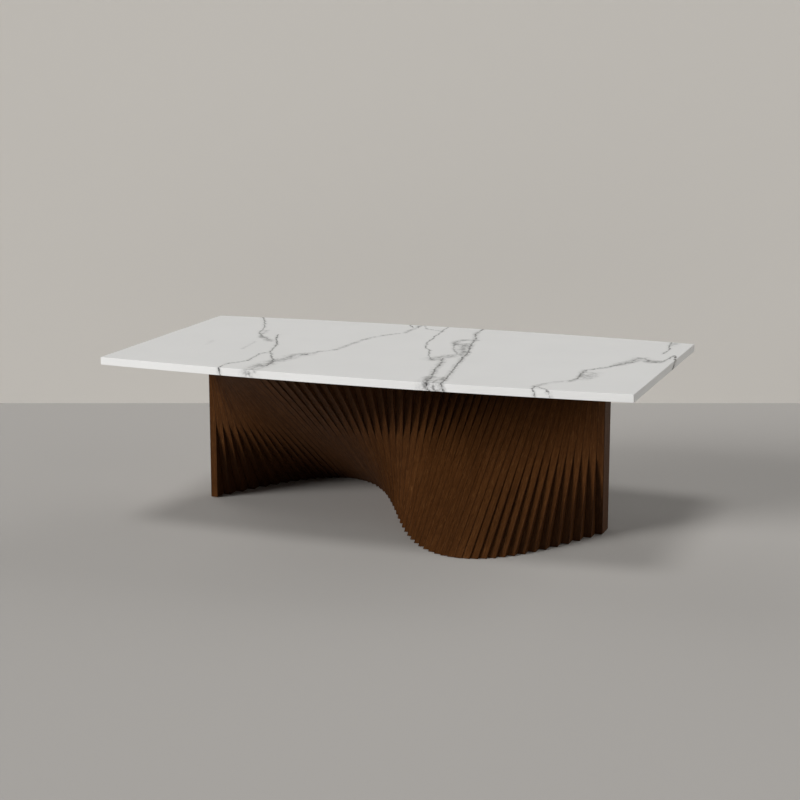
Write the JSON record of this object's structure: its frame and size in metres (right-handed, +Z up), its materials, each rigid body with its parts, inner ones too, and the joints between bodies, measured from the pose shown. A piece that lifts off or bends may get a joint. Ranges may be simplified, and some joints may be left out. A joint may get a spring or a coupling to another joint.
{
  "type": "coffee table",
  "caption": "Low coffee table: a thin veined marble slab with bowed long sides, on a base of walnut slats that stand face to face and lean in one full wave, all crossing at half height.",
  "frame": {"origin": "on the floor, under the middle of the slab", "axes": "+X along the slab, to the right in the picture; +Y to the back; +Z up"},
  "size_m": [1.4, 0.7846, 0.44],
  "materials": {
    "marble": "polished, grey veins",
    "walnut": "dark stained, satin",
    "steel": "zinc plated",
    "dowel_wood": "plain beech",
    "clear_rubber": "clear, soft",
    "felt": "pressed felt"
  },
  "bodies": {
    "root": {"end_dowels": "dowel_wood", "floor_glides": "felt", "marble_top": "marble", "rod_nuts": "steel", "rod_washers": "steel", "slab_pads": "clear_rubber", "slat_01": "walnut", "slat_02": "walnut", "slat_03": "walnut", "slat_04": "walnut", "slat_05": "walnut", "slat_06": "walnut", "slat_07": "walnut", "slat_08": "walnut", "slat_09": "walnut", "slat_10": "walnut", "slat_11": "walnut", "slat_12": "walnut", "slat_15": "walnut", "slat_18": "walnut", "slat_19": "walnut", "slat_20": "walnut", "slat_21": "walnut", "slat_22": "walnut", "slat_23": "walnut", "slat_24": "walnut", "slat_25": "walnut", "slat_26": "walnut", "slat_27": "walnut", "slat_28": "walnut", "slat_29": "walnut", "slat_30": "walnut", "slat_31": "walnut", "slat_32": "walnut", "slat_33": "walnut", "slat_34": "walnut", "slat_35": "walnut", "slat_36": "walnut", "slat_37": "walnut", "slat_38": "walnut", "slat_39": "walnut", "slat_40": "walnut", "slat_43": "walnut", "slat_46": "walnut", "slat_47": "walnut", "slat_48": "walnut", "slat_49": "walnut", "slat_50": "walnut", "slat_51": "walnut", "slat_52": "walnut", "slat_53": "walnut", "slat_54": "walnut", "slat_55": "walnut", "slat_56": "walnut", "slat_57": "walnut", "slats_13_and_17": "walnut", "slats_14_and_16": "walnut", "slats_41_and_45": "walnut", "slats_42_and_44": "walnut", "tie_rod": "steel"}
  },
  "joints": []
}
